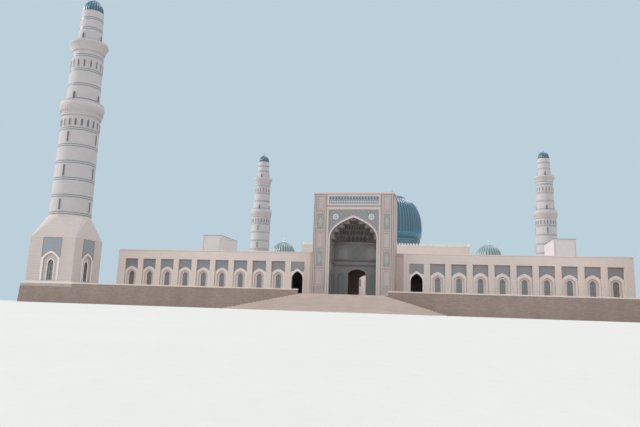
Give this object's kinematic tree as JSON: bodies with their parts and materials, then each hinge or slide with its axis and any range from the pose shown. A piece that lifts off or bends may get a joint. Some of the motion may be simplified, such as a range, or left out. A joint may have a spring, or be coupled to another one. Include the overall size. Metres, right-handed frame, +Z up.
{
  "type": "mosque building, 1:10 scale model",
  "caption": "1:10 model of a mosque on a walled podium: splayed stair, arched portal, windowed wings, courtyard, domed hall and corner minarets.",
  "frame": {"origin": "on the ground under the middle of the plan, stair included", "axes": "+X to the right along the front, +Y from the front stair to the back, +Z up"},
  "size_m": [12.806, 16.18, 6.758],
  "materials": {
    "wall_stone": "matte pale pinkish beige stone cladding",
    "podium_stone": "matte grey-brown stone",
    "stair_stone": "matte light stone",
    "portal_stone": "matte pinkish beige stone and tile",
    "link_stone": "matte brown stone",
    "vault_plaster": "grey plaster and tile in shade",
    "roofing": "matte roof screed",
    "window_glass": "tinted glass",
    "dome_tile": "glossy teal glazed tile",
    "finial_metal": "polished brass",
    "minaret_stone": "matte off-white stone with green bands"
  },
  "bodies": {
    "root": {"podium": "podium_stone", "grand_stair": "stair_stone", "podium_parapet_front_left": "podium_stone", "podium_parapet_front_right": "podium_stone", "podium_parapet_left": "podium_stone", "podium_parapet_right": "podium_stone", "podium_parapet_back": "podium_stone", "portal_pier_left": "portal_stone", "portal_link_left": "link_stone", "portal_pier_right": "portal_stone", "portal_link_right": "link_stone", "portal_arch_head": "portal_stone", "portal_vault": "vault_plaster", "portal_back_wall": "vault_plaster", "front_doorway_left": "wall_stone", "front_wall_left": "wall_stone", "side_wall_left": "wall_stone", "front_doorway_right": "wall_stone", "front_wall_right": "wall_stone", "side_wall_right": "wall_stone", "back_wall": "wall_stone", "glazing_front_left": "window_glass", "glazing_front_right": "window_glass", "glazing_side_left": "window_glass", "glazing_side_right": "window_glass", "glazing_back_left": "window_glass", "glazing_back_right": "window_glass", "glazing_hall": "window_glass", "court_wall_front": "wall_stone", "court_wall_left": "wall_stone", "court_wall_right": "wall_stone", "hall_front_wall": "wall_stone", "hall_wall_left": "wall_stone", "hall_wall_right": "wall_stone", "hall_wall_back": "wall_stone", "hall_roof": "roofing", "roof_front": "roofing", "roof_left": "roofing", "roof_right": "roofing", "main_dome_drum": "dome_tile", "main_dome": "dome_tile", "main_dome_finial": "finial_metal", "small_dome_left": "dome_tile", "roof_pavilion_left": "wall_stone", "small_dome_right": "dome_tile", "roof_pavilion_right": "wall_stone", "minaret_front_left_base": "minaret_stone", "minaret_front_left_shaft": "minaret_stone", "minaret_front_left_cap": "dome_tile", "minaret_front_right_base": "minaret_stone", "minaret_front_right_shaft": "minaret_stone", "minaret_front_right_cap": "dome_tile", "minaret_back_left_base": "minaret_stone", "minaret_back_left_shaft": "minaret_stone", "minaret_back_left_cap": "dome_tile", "minaret_back_right_base": "minaret_stone", "minaret_back_right_shaft": "minaret_stone", "minaret_back_right_cap": "dome_tile"}
  },
  "joints": []
}
